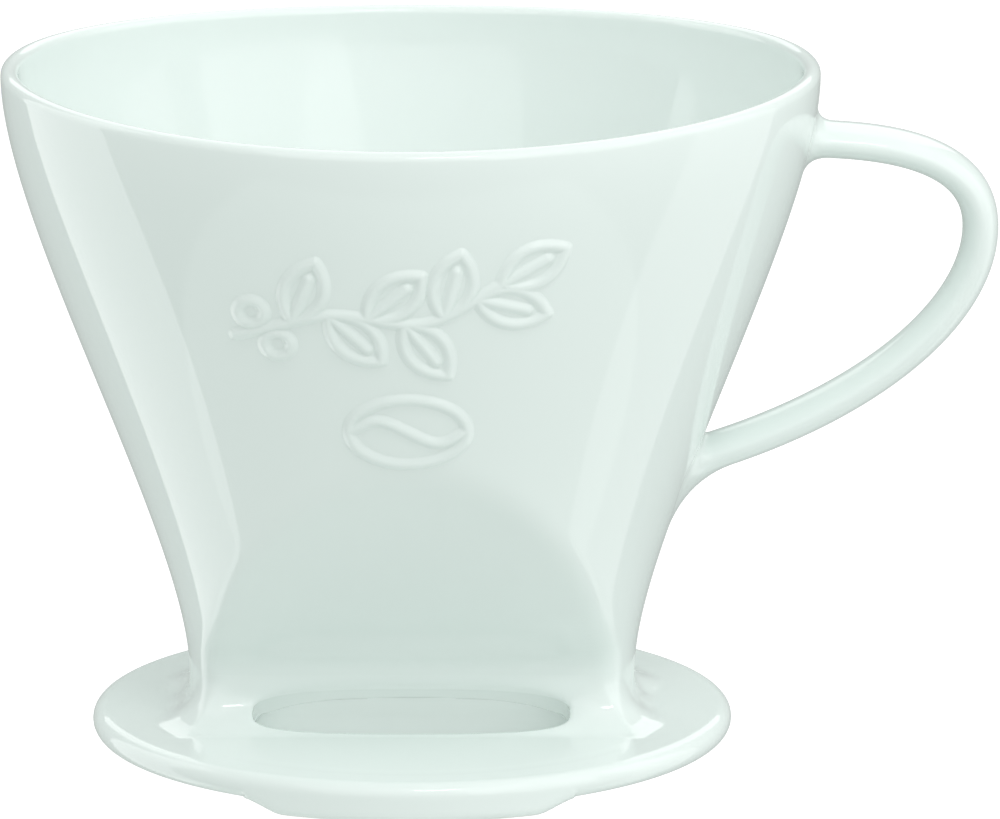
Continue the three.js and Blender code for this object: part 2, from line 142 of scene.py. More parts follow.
class HandleSettings(bpy.types.PropertyGroup):
    """Sizes of the handle."""

    reach: length("Reach", "Outermost point of the handle", HANDLE_HIGH.x)
    thickness: length("Thickness", "Thickness of the bar across its bend", 5.7 * MM)
    depth: length("Depth", "Depth of the bar", 12 * MM)
    top_drop: length("Upper joint drop", "From the rim to the upper joint", 12.3 * MM)
    bow_drop: length("Bow drop", "From the rim to the outermost point", 26.6 * MM)
    low: length("Lower joint", "Height of the lower joint", 46.4 * MM)
    top_fillet: length("Upper fillet", "Size of the fillet at the upper joint", 3.4 * MM)
    low_fillet: length("Lower fillet", "Size of the fillet under the lower joint", 9 * MM)


class ReliefSettings(bpy.types.PropertyGroup):
    """Sizes of the raised decoration."""

    height: length("Relief height", "How far the lines stand out", 0.6 * MM)
    stroke: length("Stroke", "Width of a raised line", 1.8 * MM)
    leaf_drop: length("Leaf drop", "From the rim to the middle of the twig", 26.7 * MM)
    leaf_width: length("Leaf width", "Length of the twig with its leaves", 53 * MM)
    bean_drop: length("Bean drop", "From the rim to the middle of the bean", 47.7 * MM)
    bean_length: length("Bean length", "Length of the bean", 20 * MM)
    bean_width: length("Bean width", "Width of the bean", 13.4 * MM)


class GlazeSettings(bpy.types.PropertyGroup):
    """Colours of the glazed porcelain."""

    body: colour("Porcelain", "Of the fired body under the clear glaze", (0.825, 0.888, 0.866))
    pooled: colour("Pooled glaze", "Where the glaze gathers in corners", (0.75, 0.835, 0.80))
    bare: colour("Bare foot", "Of the unglazed feet", (0.82, 0.81, 0.78))


class StageSettings(bpy.types.PropertyGroup):
    """The floor, the camera and the lights."""

    camera_distance: length("Camera distance", "In front of the axis", 1.309)
    camera_height: length("Camera height", "Above the table", 0.353)
    camera_aside: length("Camera aside", "To the handle's side", 14.2 * MM)
    camera_aim: length("Aim height", "Height that the camera looks at", 54.6 * MM)
    lens: FloatProperty(name="Lens", description="Focal length", default=301, unit="CAMERA")
    floor_size: length("Floor size", "Side of the floor", 8)


# ---- the outer skin -------------------------------------------------------------------


def soft_max(a, b, width):
    """The larger of two distances, with the edge between them rounded over a width."""
    share = np.clip(0.5 + 0.5 * (a - b) / width, 0, 1)
    return b + (a - b) * share + width * share * (1 - share)


def smooth_step(value, start, end):
    """Rises softly from 0 at the start to 1 at the end."""
    share = np.clip((value - start) / (end - start), 0, 1)
    return share * share * (3 - 2 * share)


def cubic(points, share):
    """Points of a cubic curve, as rows of coordinates."""
    share = np.asarray(share)[..., None]
    first, second, third, fourth = (np.array(point) for point in points)
    rest = 1 - share
    return (
        first * rest**3
        + 3 * second * share * rest**2
        + 3 * third * share**2 * rest
        + fourth * share**3
    )


class Skin:
    """Signed distances to the dripper's surfaces, from the panel's sizes."""

    def __init__(self, scene):
        self.cone = cone = scene.dripper_cone
        self.plate = plate = scene.dripper_plate
        self.plate_top = plate.underside + plate.thickness
        self.lip_spring = cone.rim_height - cone.lip / 2
        self.slope = tan(cone.facet_lean)
        self.share = np.linspace(0, 1, 400)
        span = plate.facet_fillet / tan((pi / 2 - cone.facet_lean) / 2)
        self.fillet_depth = cone.facet_half_depth + span
        self.fillet_height = self.plate_top + plate.facet_fillet

    def wall_points(self, foot_inset, rim_inset, share):
        """The round wall's S-curve as (radius, height) rows."""
        cone = self.cone
        foot = cone.foot_radius - foot_inset
        rim = cone.rim_radius - rim_inset
        control = (
            (foot, cone.seam_height),
            (foot + cone.foot_lean, cone.seam_height + cone.foot_rise),
            (rim, self.lip_spring - cone.rim_rise),
            (rim, self.lip_spring),
        )
        return cubic(control, share)

    def wall_radius(self, height, foot_inset=0.0, rim_inset=0.0):
        rows = self.wall_points(foot_inset, rim_inset, self.share)
        return np.interp(height, rows[:, 1], rows[:, 0])

    def facet_half_depth(self, height):
        rise = np.maximum(height - self.plate_top, 0)
        return self.cone.facet_half_depth + rise * self.slope

    def filleted_facet(self, depth, height):
        """Facet and plate, seen from the side, with the hollow fillet between them."""
        lean = self.cone.facet_lean
        facet = (depth - self.cone.facet_half_depth) * cos(lean)
        facet = facet - (height - self.plate_top) * sin(lean)
        level = height - self.plate_top
        out = depth - self.fillet_depth
        up = height - self.fillet_height
        after_facet = -cos(lean) * up - sin(lean) * out >= 0
        before_plate = -out >= 0
        in_fillet = after_facet & before_plate
        fillet = self.plate.facet_fillet - np.hypot(out, up)
        return np.where(in_fillet, fillet, np.minimum(facet, level))

    def filleted_wall(self, radius, depth, height):
        """Round wall and plate, with a hollow fillet that grows towards the facets."""
        side, facet = self.plate.side_fillet, self.plate.facet_fillet
        size = side + (facet - side) * smooth_step(depth, 3 * MM, 15 * MM)
        wall = radius - self.wall_radius(height)
        level = height - self.plate_top
        out = radius - self.wall_radius(self.plate_top) - size
        up = height - self.plate_top - size
        in_fillet = (out < 0) & (up < 0)
        return np.where(in_fillet, size - np.hypot(out, up), np.minimum(wall, level))

    def outside(self, x, y, z):
        """Distance to the cone's outside, with the plate's top around its foot."""
        facet = self.filleted_facet(np.abs(y), z)
        wall = self.filleted_wall(np.hypot(x, y), np.abs(y), z)
        fade = smooth_step(z, self.plate_top + 0.5 * MM, self.plate_top + 9 * MM)
        low = 2.2 - 1.2 * smooth_step(z, 20 * MM, 45 * MM)
        return soft_max(facet, wall, self.cone.crease * low * fade + 0.05 * MM)

    def inside(self, x, y, z):
        """Distance to the cone's hollow."""
        cone = self.cone
        radius = np.hypot(x, y)
        wall = radius - self.wall_radius(z, cone.wall, cone.lip)
        half_depth = self.facet_half_depth(z) - cone.wall / cos(cone.facet_lean)
        facet = (np.abs(y) - half_depth) * cos(cone.facet_lean)
        rib = np.zeros_like(radius)
        fade = smooth_step(z, cone.rib_top, cone.rib_top - 5 * MM)
        for turn in range(cone.rib_count):
            angle = (turn + 0.5) * 2 * pi / cone.rib_count
            along = x * cos(angle) + y * sin(angle)
            across = y * cos(angle) - x * sin(angle)
            crown = np.clip(1 - (2 * across / cone.rib_width) ** 2, 0, 1)
            rib = np.maximum(rib, np.where(along > 0, crown**0.7, 0))
        return soft_max(wall, facet, 5 * MM) + cone.rib_height * rib * fade

    def foot(self, x, y, z):
        """Distance to the sides of the foot and the outlet boss."""
        cone = self.cone
        radius = np.hypot(x, y)
        low = z < self.plate.underside
        end = np.where(low, cone.outlet_radius, cone.foot_radius - cone.foot_step)
        return soft_max(radius - end, np.abs(y) - self.facet_half_depth(z), FOOT_CORNER)

    def saddle(self, places):
        """The lip is a saddle: what is near the rim drops with the square of its Y."""
        share = smooth_step(places[:, 2], self.cone.seam_height, self.lip_spring)
        reach = np.minimum(np.abs(places[:, 1]) / self.cone.rim_radius, 1)
        places[:, 2] -= self.cone.rim_dip * share * reach**2
        return places


def farthest(within, count, longest):
    """The greatest reach, up to the longest, at which each of a row of tests still holds."""
    near = np.zeros(count)
    far = np.full(count, longest)
    for _ in range(40):
        middle = (near + far) / 2
        held = within(middle)
        near = np.where(held, middle, near)
        far = np.where(held, far, middle)
    return near


def reach_along(field, x, y, z, longest):
    """How far out, from the axis, each direction meets the surface of a distance field."""
    angle = np.arctan2(y, x)
    across, along = np.cos(angle), np.sin(angle)
    return farthest(lambda reach: field(reach * across, reach * along, z) < 0, len(z), longest)


# ---- meshes ---------------------------------------------------------------------------


def evenly(points, count):
    """Distances along a flat line and the points there, evenly spaced."""
    gone = np.concatenate(([0], np.cumsum(np.linalg.norm(np.diff(points, axis=0), axis=1))))
    even = np.linspace(0, gone[-1], count)
    return even, np.column_stack([np.interp(even, gone, points[:, axis]) for axis in range(2)])


def coordinates(mesh):
    """A mesh's points, as rows."""
    flat = np.empty(len(mesh.vertices) * 3)
    mesh.vertices.foreach_get("co", flat)
    return flat.reshape(-1, 3)


def set_coordinates(mesh, places):
    """Moves a mesh's points to new rows of coordinates."""
    mesh.vertices.foreach_set("co", places.ravel())
    mesh.update()


def finished(name, mesh, nodes, edge_angle=38):
    """Turns a mesh into a named piece that replaces its CAD nodes."""
    piece = bpy.data.objects.new(name, mesh)
    bpy.context.scene.collection.objects.link(piece)
    mesh.shade_smooth()
    mesh.set_sharp_from_angle(angle=radians(edge_angle))
    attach(piece, BODY)
    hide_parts(*nodes)
    mesh.materials.clear()
    mesh.materials.append(porcelain(name))
    return piece


def spun(profile, steps, kinds=None):
    """A closed body from an outline of (radius, height) rows that starts and ends on the axis."""
    body = bmesh.new()
    layer = body.verts.layers.int.new("kind")
    previous = None
    for index, (radius, height) in enumerate(profile):
        vertex = body.verts.new((radius, 0, height))
        vertex[layer] = int(kinds[index]) if kinds is not None else 0
        if previous is not None:
            body.edges.new((previous, vertex))
        previous = vertex
    bmesh.ops.spin(
        body,
        geom=body.verts[:] + body.edges[:],
        cent=(0, 0, 0),
        axis=(0, 0, 1),
        angle=2 * pi,
        steps=steps,
        use_merge=True,
    )
    bmesh.ops.remove_doubles(body, verts=body.verts[:], dist=0.001 * MM)
    bmesh.ops.recalc_face_normals(body, faces=body.faces[:])
    return body


def modified(mesh, kind, **settings):
    """The mesh after one modifier."""
    piece = bpy.data.objects.new("modified", mesh)
    bpy.context.scene.collection.objects.link(piece)
    modifier = piece.modifiers.new("modifier", kind)
    for name, value in settings.items():
        setattr(modifier, name, value)
    evaluated = piece.evaluated_get(bpy.context.evaluated_depsgraph_get())
    result = bpy.data.meshes.new_from_object(evaluated)
    bpy.data.objects.remove(piece)
    return result


def cut(mesh, cutter):
    """The mesh with another mesh taken away from it."""
    tool = bpy.data.objects.new("cutter", cutter)
    bpy.context.scene.collection.objects.link(tool)
    result = modified(mesh, "BOOLEAN", operation="DIFFERENCE", solver="EXACT", object=tool)
    bpy.data.objects.remove(tool)
    return result


def whole(body):
    """All of a bmesh's parts, as an operator takes them."""
    return body.verts[:] + body.edges[:] + body.faces[:]


def to_mesh(body, name):
    """A new mesh from a bmesh, which is freed."""
    mesh = bpy.data.meshes.new(name)
    body.to_mesh(mesh)
    body.free()
    return mesh


def arc(radius, height, size, start, end, steps):
    """Points of a round corner, as (radius, height) pairs."""
    angles = np.linspace(start, end, steps)
    return [(radius + size * cos(angle), height + size * sin(angle)) for angle in angles]


# ---- material -------------------------------------------------------------------------


class Value:
    """A number from a node's socket, with Python's operators."""

    def __init__(self, tree, socket):
        self.tree = tree
        self.socket = socket

    def math(self, operation, other):
        return node(self.tree, "ShaderNodeMath", {"operation": operation}, (self, other))

    def __add__(self, other):
        return self.math("ADD", other)

    __radd__ = __add__

    def __mul__(self, other):
        return self.math("MULTIPLY", other)

    __rmul__ = __mul__

    def __sub__(self, other):
        return self.math("SUBTRACT", other)

    def __rsub__(self, other):
        return node(self.tree, "ShaderNodeMath", {"operation": "SUBTRACT"}, (other, self))


def node(tree, kind, settings=None, inputs=(), output=0):
    """Adds a node, with its settings first and then the values or links of its sockets."""
    made = tree.nodes.new(kind)
    for name, value in (settings or {}).items():
        setattr(made, name, value)
    pairs = inputs.items() if isinstance(inputs, dict) else enumerate(inputs)
    for key, value in pairs:
        if isinstance(value, Value):
            tree.links.new(value.socket, made.inputs[key])
        else:
            made.inputs[key].default_value = value
    return Value(tree, made.outputs[output])


def mixed(tree, factor, first, second):
    """A blend of two colours."""
    inputs = {0: factor}
    for key, colour in ((6, first), (7, second)):
        inputs[key] = colour if isinstance(colour, Value) else (*colour, 1)
    return node(tree, "ShaderNodeMix", {"data_type": "RGBA"}, inputs, output=2)


def rising(tree, value, start, end, way):
    """A mask that goes from 0 to 1 as a value goes from the start to the end."""
    return node(
        tree,
        "ShaderNodeMapRange",
        {"interpolation_type": way},
        {"Value": value, "From Min": start, "From Max": end, "To Min": 0.0, "To Max": 1.0},
    )


def porcelain(name):
    """White porcelain under a clear, faintly green, slightly uneven glaze."""
    glaze = bpy.context.scene.dripper_glaze
    material = bpy.data.materials.new(name + "_glaze")
    material.use_nodes = True
    tree = material.node_tree
    shader = tree.nodes["Principled BSDF"]
    place = node(tree, "ShaderNodeTexCoord", output=3)
    noise = "ShaderNodeTexNoise"
    wide = node(tree, noise, inputs={"Vector": place, "Scale": 22.0, "Detail": 2.0})
    fine = node(tree, noise, inputs={"Vector": place, "Scale": 260.0, "Detail": 3.0})
    hollow = node(tree, "ShaderNodeNewGeometry", output=7)  # pointiness
    pool = rising(tree, hollow, 0.5, 0.44, "SMOOTHSTEP")
    shade = mixed(tree, pool * 0.5 + wide * 0.12 - 0.06, tuple(glaze.body), tuple(glaze.pooled))
    height = node(tree, "ShaderNodeSeparateXYZ", inputs=(place,), output=2)
    foot = rising(tree, height, 0.35 * MM, 0.15 * MM, "LINEAR")
    colour = mixed(tree, foot, shade, tuple(glaze.bare))
    waves = {"Strength": 0.06, "Distance": 0.6 * MM, "Height": wide * 0.8 + fine * 0.05}
    bump = node(tree, "ShaderNodeBump", inputs=waves)
    roughness = foot * 0.55 + fine * 0.03 + 0.03
    tree.links.new(colour.socket, shader.inputs["Base Color"])
    tree.links.new(roughness.socket, shader.inputs["Roughness"])
    tree.links.new(bump.socket, shader.inputs["Normal"])
    shader.inputs["IOR"].default_value = 1.5
    return material


# ---- cone -----------------------------------------------------------------------------

UNDER, OUTSIDE, LIP, INSIDE, FLOOR = range(5)


def cone_profile(skin, seam):
    """The cone's outline, from under the outlet boss, over the lip, to the floor's middle."""
    cone = skin.cone
    edge = 0.8 * MM
    foot = cone.foot_radius - cone.foot_step
    boss = cone.outlet_radius
    under = skin.plate.underside
    rows = [(radius, 0.0, UNDER) for radius in np.linspace(0, boss - edge, 6)]
    rows += [(*point, UNDER) for point in arc(boss - edge, edge, edge, -pi / 2, 0, 5)[1:]]
    rows += [(boss, under - 0.05 * MM, UNDER), (foot, under + 0.05 * MM, UNDER)]
    rows += [(foot, height, UNDER) for height in np.linspace(under + 2 * MM, seam - 0.3 * MM, 8)]
    for share in np.linspace(0, 1, 118) ** 0.97:
        height = seam + (skin.lip_spring - seam) * share
        rows.append((float(skin.wall_radius(height)), height, OUTSIDE))
    middle = cone.rim_radius - cone.lip / 2
    lip = arc(middle, skin.lip_spring, cone.lip / 2, 0, pi, 19)
    rows += [(*point, LIP) for point in lip[1:-1]]
    low = cone.floor_height + FLOOR_CORNER
    for share in np.linspace(1, 0, 96):
        height = low + (skin.lip_spring - low) * share
        rows.append((float(skin.wall_radius(height, cone.wall, cone.lip)), height, INSIDE))
    last = rows[-1]
    for turn in (0.25, 0.5, 0.75, 1.0):
        height = last[1] - FLOOR_CORNER * sin(turn * pi / 2)
        radius = last[0] - 3 * MM * (1 - cos(turn * pi / 2))
        rows.append((radius, height, FLOOR))
    edge_radius = rows[-1][0]
    rows += [(radius, cone.floor_height, FLOOR) for radius in np.linspace(edge_radius, 0, 14)[1:]]
    return rows


def shaped_cone(skin, places, kinds):
    """Pulls a turned body in to its facets, its slot and its ribs."""
    cone = skin.cone
    x, y, z = places.T
    radius = np.hypot(x, y)
    angle = np.arctan2(y, x)
    out = radius.copy()
    limit = cone.rim_radius * 1.2
    outside = kinds == OUTSIDE
    out[outside] = reach_along(skin.outside, x[outside], y[outside], z[outside], limit)
    inside = kinds == INSIDE
    out[inside] = reach_along(skin.inside, x[inside], y[inside], z[inside], limit)
    under = kinds == UNDER
    nominal = np.where(
        z < skin.plate.underside, cone.outlet_radius, cone.foot_radius - cone.foot_step
    )
    foot = reach_along(skin.foot, x, y, z, limit)
    out[under] = (radius * foot / nominal)[under]
    floor = kinds == FLOOR
    spring = np.full_like(z, cone.floor_height + FLOOR_CORNER)
    slot = reach_along(skin.inside, x, y, spring, limit)
    rim = float(skin.wall_radius(spring[0], cone.wall, cone.lip))
    out[floor] = (radius * slot / rim)[floor]
    places = np.column_stack((out * np.cos(angle), out * np.sin(angle), z))
    return skin.saddle(places)


def hole_cutter(skin):
    """The two drip holes, slightly flared at both ends."""
    cone = skin.cone
    radius = cone.hole_diameter / 2
    flare = 0.6 * MM
    profile = [
        (0, -1 * MM),
        (radius + flare + 1 * MM, -1 * MM),
        (radius + flare, 0),
        (radius, flare),
        (radius, cone.floor_height - flare),
        (radius + flare, cone.floor_height),
        (radius + flare + 1 * MM, cone.floor_height + 1 * MM),
        (0, cone.floor_height + 1 * MM),
    ]
    body = spun(profile, 48)
    bmesh.ops.translate(body, verts=body.verts[:], vec=(cone.hole_spacing / 2, 0, 0))
    twin = bmesh.ops.duplicate(body, geom=whole(body))
    moved = [part for part in twin["geom"] if isinstance(part, bmesh.types.BMVert)]
    bmesh.ops.translate(body, verts=moved, vec=(-cone.hole_spacing, 0, 0))
    return to_mesh(body, "holes")


class DRIPPER_OT_funnel(bpy.types.Operator):
    """Model the cone with its facets, lip, ribs, floor and drip holes"""

    bl_idname = "dripper.funnel"
    bl_label = "Cone"

    def execute(self, context):
        skin = Skin(context.scene)
        rows = cone_profile(skin, SEAM)
        body = spun([row[:2] for row in rows], CONE_STEPS, [row[2] for row in rows])
        layer = body.verts.layers.int["kind"]
        kinds = np.array([vertex[layer] for vertex in body.verts])
        mesh = to_mesh(body, "funnel")
        set_coordinates(mesh, shaped_cone(skin, coordinates(mesh), kinds))
        mesh = cut(mesh, hole_cutter(skin))
        finished("porcelain_cone", mesh, ["funnel"])
        return {"FINISHED"}


# ---- base plate -----------------------------------------------------------------------


def window_distance(skin, x, y, z):
    """Distance to the sides of the oval tunnel behind the sight window."""
    half = skin.plate.window_width / 2
    out, up = y - WINDOW_MIDDLE[0], z - WINDOW_MIDDLE[1]
    rise = out * sin(WINDOW_LEAN) + up * cos(WINDOW_LEAN)
    power = 3  # between an ellipse and a rounded oblong
    size = (np.abs(x) / half) ** power + (np.abs(rise) / WINDOW_HALF_HEIGHT) ** power
    size = size ** (1 / power)
    return (size - 1) * WINDOW_HALF_HEIGHT


def throat_distance(skin, x, y, z):
    """Distance to the sides of the opening under the window."""
    half = skin.plate.window_width / 2 - 1 * MM
    reach = skin.plate.window_reach - 1.6 * MM
    corner = 5 * MM
    side = np.abs(x) - half + corner
    depth = np.abs(y + reach / 2) - reach / 2 + corner
    plan = np.hypot(np.maximum(side, 0), np.maximum(depth, 0))
    plan = plan + np.minimum(np.maximum(side, depth), 0)
    return np.maximum(plan - corner, z - THROAT_TOP)


def lug_drop(skin, x, radius):
    """How far a lug reaches below the plate's underside."""
    plate = skin.plate
    end = plate.lug_width / 2
    across = 1 - smooth_step(np.abs(x), end - 0.5 * MM, end + plate.lug_end)
    inner = plate.radius - plate.lug_depth
    return plate.underside * across * smooth_step(radius, inner - 0.7 * MM, inner + 0.7 * MM)


def plate_distance(skin, x, y, z):
    """Distance to the surface of the plate with its collar, lugs and openings."""
    plate = skin.plate
    radius = np.hypot(x, y)
    bottom = plate.underside - lug_drop(skin, x, radius) * (np.abs(y) > plate.radius / 2)
    edge = plate.thickness / 2
    rounding_low = np.where(bottom < plate.underside - 0.05 * MM, 1.3 * MM, edge)
    out = radius - (plate.radius - edge)
    upper = np.hypot(np.maximum(out, 0), np.maximum(z - (skin.plate_top - edge), 0)) - edge
    low_out = radius - (plate.radius - rounding_low)
    low_down = bottom + rounding_low - z
    lower = np.hypot(np.maximum(low_out, 0), np.maximum(low_down, 0)) - rounding_low
    disc = np.where(z > skin.plate_top - edge, upper, lower)
    body = np.maximum(skin.outside(x, y, z), bottom - z)
    solid = np.where(radius < plate.radius - 6.5 * MM, body, disc)
    rise = z - WINDOW_MIDDLE[1]
    lip = plate.window_lip * (0.35 + 0.9 * smooth_step(rise, -2 * MM, 2 * MM))
    solid = soft_max(solid, -window_distance(skin, x, y, z), lip)
    solid = soft_max(solid, -throat_distance(skin, x, y, z), 0.8 * MM)
    return soft_max(solid, -0.06 * MM - skin.foot(x, y, z), 0.2 * MM)


def slopes(field, x, y, z, step):
    """How a distance field changes along X, Y and Z, as rows."""
    change = (
        field(x + step, y, z) - field(x - step, y, z),
        field(x, y + step, z) - field(x, y - step, z),
        field(x, y, z + step) - field(x, y, z - step),
    )
    return np.column_stack(change) / (2 * step)


def settle(mesh, distance):
    """Moves a mesh's vertices on to the surface of a distance field, evening them out."""
    rounds = 4
    for turn in range(rounds):
        if turn < rounds - 1:
            body = bmesh.new()
            body.from_mesh(mesh)
            bmesh.ops.smooth_vert(
                body,
                verts=body.verts[:],
                factor=0.5,
                use_axis_x=True,
                use_axis_y=True,
                use_axis_z=True,
            )
            body.to_mesh(mesh)
            body.free()
        places = coordinates(mesh)
        for _ in range(4):
            x, y, z = places.T
            slope = slopes(distance, x, y, z, 0.02 * MM)
            steepness = np.maximum((slope**2).sum(1), 0.05)
            shift = -(distance(x, y, z) / steepness)[:, None] * slope
            size = np.linalg.norm(shift, axis=1, keepdims=True)
            places = places + shift * np.minimum(1, 0.8 * MM / np.maximum(size, 1e-9))
        set_coordinates(mesh, places)


def plate_profile(skin):
    """The plate's outline with its collar, from the axis below to the axis above."""
    plate = skin.plate
    edge = plate.thickness / 2
    middle = plate.underside + edge
    rows = [(radius, plate.underside) for radius in np.linspace(0, plate.radius - edge, 24)]
    rows += arc(plate.radius - edge, middle, edge, -pi / 2, pi / 2, 11)[1:]
    rows += [(plate.radius - 4.5 * MM, skin.plate_top), (plate.radius - 8 * MM, skin.plate_top)]
    collar = skin.plate_top + np.array([0.05, 0.2, 0.6, 1.2, 2, 3, 4, 5, 6, 7, 8, 9, 10]) * MM
    reach = skin.cone.foot_radius
    return rows, [(reach, height) for height in collar] + [(0.0, collar[-1])]


def plate_blank(skin):
    """The plate with its collar and lugs, before the foot and the openings are cut out."""
    rows, collar = plate_profile(skin)
    kinds = [0] * len(rows) + [1] * (len(collar) - 1) + [0]
    body = spun(rows + collar, 144, kinds)
    layer = body.verts.layers.int["kind"]
    kinds = np.array([vertex[layer] for vertex in body.verts])
    mesh = to_mesh(body, "plate_blank")
    places = coordinates(mesh)
    x, y, z = places.T
    skinned = kinds == 1
    angle = np.arctan2(y, x)
    reach = reach_along(skin.outside, x, y, z, skin.plate.radius - 8.5 * MM)
    places[skinned, 0] = (reach * np.cos(angle))[skinned]
    places[skinned, 1] = (reach * np.sin(angle))[skinned]
    low = z < skin.plate.underside + 0.3 * skin.plate.thickness
    drop = lug_drop(skin, x, np.hypot(x, y)) * (np.abs(y) > skin.plate.radius / 2)
    places[low, 2] -= drop[low]
    set_coordinates(mesh, places)
    return mesh


def foot_cutter(skin):
    """A block a little larger than the cone's foot, widening above the plate."""
    room = 0.2 * MM
    reach = skin.cone.foot_radius - skin.cone.foot_step + room
    body = bmesh.new()
    bmesh.ops.create_cone(
        body, cap_ends=True, segments=96, radius1=reach, radius2=reach, depth=2
    )
    bmesh.ops.bisect_plane(body, geom=whole(body), plane_co=(0, 0, 0), plane_no=(0, 0, 1))
    levels = (-2 * MM, skin.plate_top, SEAM + 8 * MM)
    for vertex in body.verts:
        height = levels[int(round(vertex.co.z)) + 1]
        half_depth = float(skin.facet_half_depth(height)) + room
        vertex.co = (vertex.co.x, min(max(vertex.co.y, -half_depth), half_depth), height)
    return to_mesh(body, "foot_cutter")


def window_cutter(skin):
    """An oval bar, slightly slimmer than the window's tunnel."""
    slim = 0.98
    body = bmesh.new()
    bmesh.ops.create_cone(
        body, cap_ends=True, segments=72, radius1=1, radius2=1, depth=30 * MM
    )
    size = (skin.plate.window_width / 2 * slim, WINDOW_HALF_HEIGHT * slim, 1)
    bmesh.ops.scale(body, verts=body.verts[:], vec=size)
    for vertex in body.verts:
        x, rise, along = vertex.co
        along -= 5 * MM
        y = WINDOW_MIDDLE[0] + rise * sin(WINDOW_LEAN) + along * cos(WINDOW_LEAN)
        z = WINDOW_MIDDLE[1] + rise * cos(WINDOW_LEAN) - along * sin(WINDOW_LEAN)
        vertex.co = (x, y, z)
    bmesh.ops.recalc_face_normals(body, faces=body.faces[:])
    return to_mesh(body, "window_cutter")


def throat_cutter(skin):
    """A block, slightly smaller than the opening under the window."""
    body = bmesh.new()
    bmesh.ops.create_cube(body, size=2)
    half = skin.plate.window_width / 2 - 1.5 * MM
    reach = skin.plate.window_reach - 2 * MM
    for vertex in body.verts:
        y = -reach if vertex.co.y < 0 else 0
        z = THROAT_TOP - 0.2 * MM if vertex.co.z > 0 else -2 * MM
        vertex.co = (vertex.co.x * half, y, z)
    return to_mesh(body, "throat_cutter")


def trimmed(mesh, height):
    """The mesh below a height, closed again with a flat face."""
    body = bmesh.new()
    body.from_mesh(mesh)
    bmesh.ops.bisect_plane(
        body,
        geom=whole(body),
        plane_co=(0, 0, height),
        plane_no=(0, 0, 1),
        clear_outer=True,
    )
    rim = [edge for edge in body.edges if edge.is_boundary]
    bmesh.ops.triangle_fill(body, edges=rim, use_beauty=True, normal=(0, 0, 1))
    body.to_mesh(mesh)
    body.free()
    return mesh


class DRIPPER_OT_base_plate(bpy.types.Operator):
    """Model the base plate with its collar, fillets, sight window and lugs"""

    bl_idname = "dripper.base_plate"
    bl_label = "Base Plate"

    def execute(self, context):
        skin = Skin(context.scene)
        mesh = plate_blank(skin)
        for cutter in (foot_cutter(skin), window_cutter(skin), throat_cutter(skin)):
            mesh = cut(mesh, cutter)
        mesh = modified(mesh, "REMESH", mode="VOXEL", voxel_size=VOXEL)
        settle(mesh, lambda x, y, z: plate_distance(skin, x, y, z))
        mesh = trimmed(mesh, SEAM)
        finished("porcelain_base", mesh, ["base_plate"])
        return {"FINISHED"}


# ---- handle ---------------------------------------------------------------------------


def handle_path(skin, handle, count):
    """Even points, tangents and normals along the handle's middle."""
    cone = skin.cone
    top = cone.rim_height - handle.top_drop
    bow = cone.rim_height - handle.bow_drop
    bow_x = handle.reach - handle.thickness / 2
    top_x = float(skin.wall_radius(top)) - 1.5 * MM
    low_x = float(skin.wall_radius(handle.low)) - 1.5 * MM
    upper = (
        (top_x, top),
        (top_x + 0.54 * (bow_x - top_x), top),
        (bow_x, bow + 0.8 * (top - bow)),
        (bow_x, bow),
    )
    lower = (
        (bow_x, bow),
        (bow_x, bow - 0.38 * (bow - handle.low)),
        (low_x + 0.6 * (bow_x - low_x), handle.low + 0.21 * (bow - handle.low)),
        (low_x, handle.low),
    )
    share = np.linspace(0, 1, 600)
    even, middle = evenly(np.vstack((cubic(upper, share), cubic(lower, share)[1:])), count)
    tangent = np.gradient(middle, even, axis=0)
    tangent /= np.linalg.norm(tangent, axis=1, keepdims=True)
    normal = np.column_stack((-tangent[:, 1], tangent[:, 0]))
    return even, middle, normal


def gradient(field, point):
    """Unit direction in which a distance grows fastest."""
    slope = slopes(field, *point, 0.05 * MM)[0]
    return slope / np.linalg.norm(slope)


def on_wall(field, point):
    """The nearest point of a distance field's surface."""
    for _ in range(6):
        point = point - gradient(field, point) * float(field(*point))
    return point


def handle_rings(skin, handle, around):
    """Rows of points round the handle, from inside one joint to inside the other."""
    even, middle, normal = handle_path(skin, handle, 900)
    columns = []
    for turn in range(around):
        angle = 2 * pi * turn / around
        thin = handle.thickness / 2 * cos(angle)
        deep = handle.depth / 2 * sin(angle)
        line = np.column_stack((
            middle[:, 0] + normal[:, 0] * thin,
            np.full(len(even), deep),
            middle[:, 1] + normal[:, 1] * thin,
        ))

        def along_line(place):
            return np.array([np.interp(place, even, line[:, axis]) for axis in range(3)])

        clear = np.flatnonzero(skin.outside(*line.T) > 0)
        ends = []
        lopsided = handle.low_fillet * (0.58 + 0.42 * cos(angle))
        for first, size, sign in (
            (clear[0], handle.top_fillet, 1),
            (clear[-1], lopsided, -1),
        ):
            wall = line[first]
            toward = np.array([normal[first, 0] * thin, deep, normal[first, 1] * thin])
            steep = gradient(skin.outside, wall)
            along = toward - steep * float(toward @ steep)
            along /= np.linalg.norm(along)
            spread = on_wall(skin.outside, wall + along * size)
            spread = spread - gradient(skin.outside, spread) * 0.008 * MM
            sunk = spread - gradient(skin.outside, spread) * 1.2 * MM
            place = even[first] + sign * size
            start = along_line(place)
            curve = [
                spread * (1 - t) ** 2 + 2 * wall * t * (1 - t) + start * t**2
                for t in np.linspace(0, 1, 13)
            ]
            ends.append((place, [sunk, *curve]))
        (begin, head), (finish, tail) = ends
        stations = np.linspace(begin, finish, 150)[1:-1]
        columns.append(head + [along_line(place) for place in stations] + tail[::-1])
    return np.array(columns).transpose(1, 0, 2)


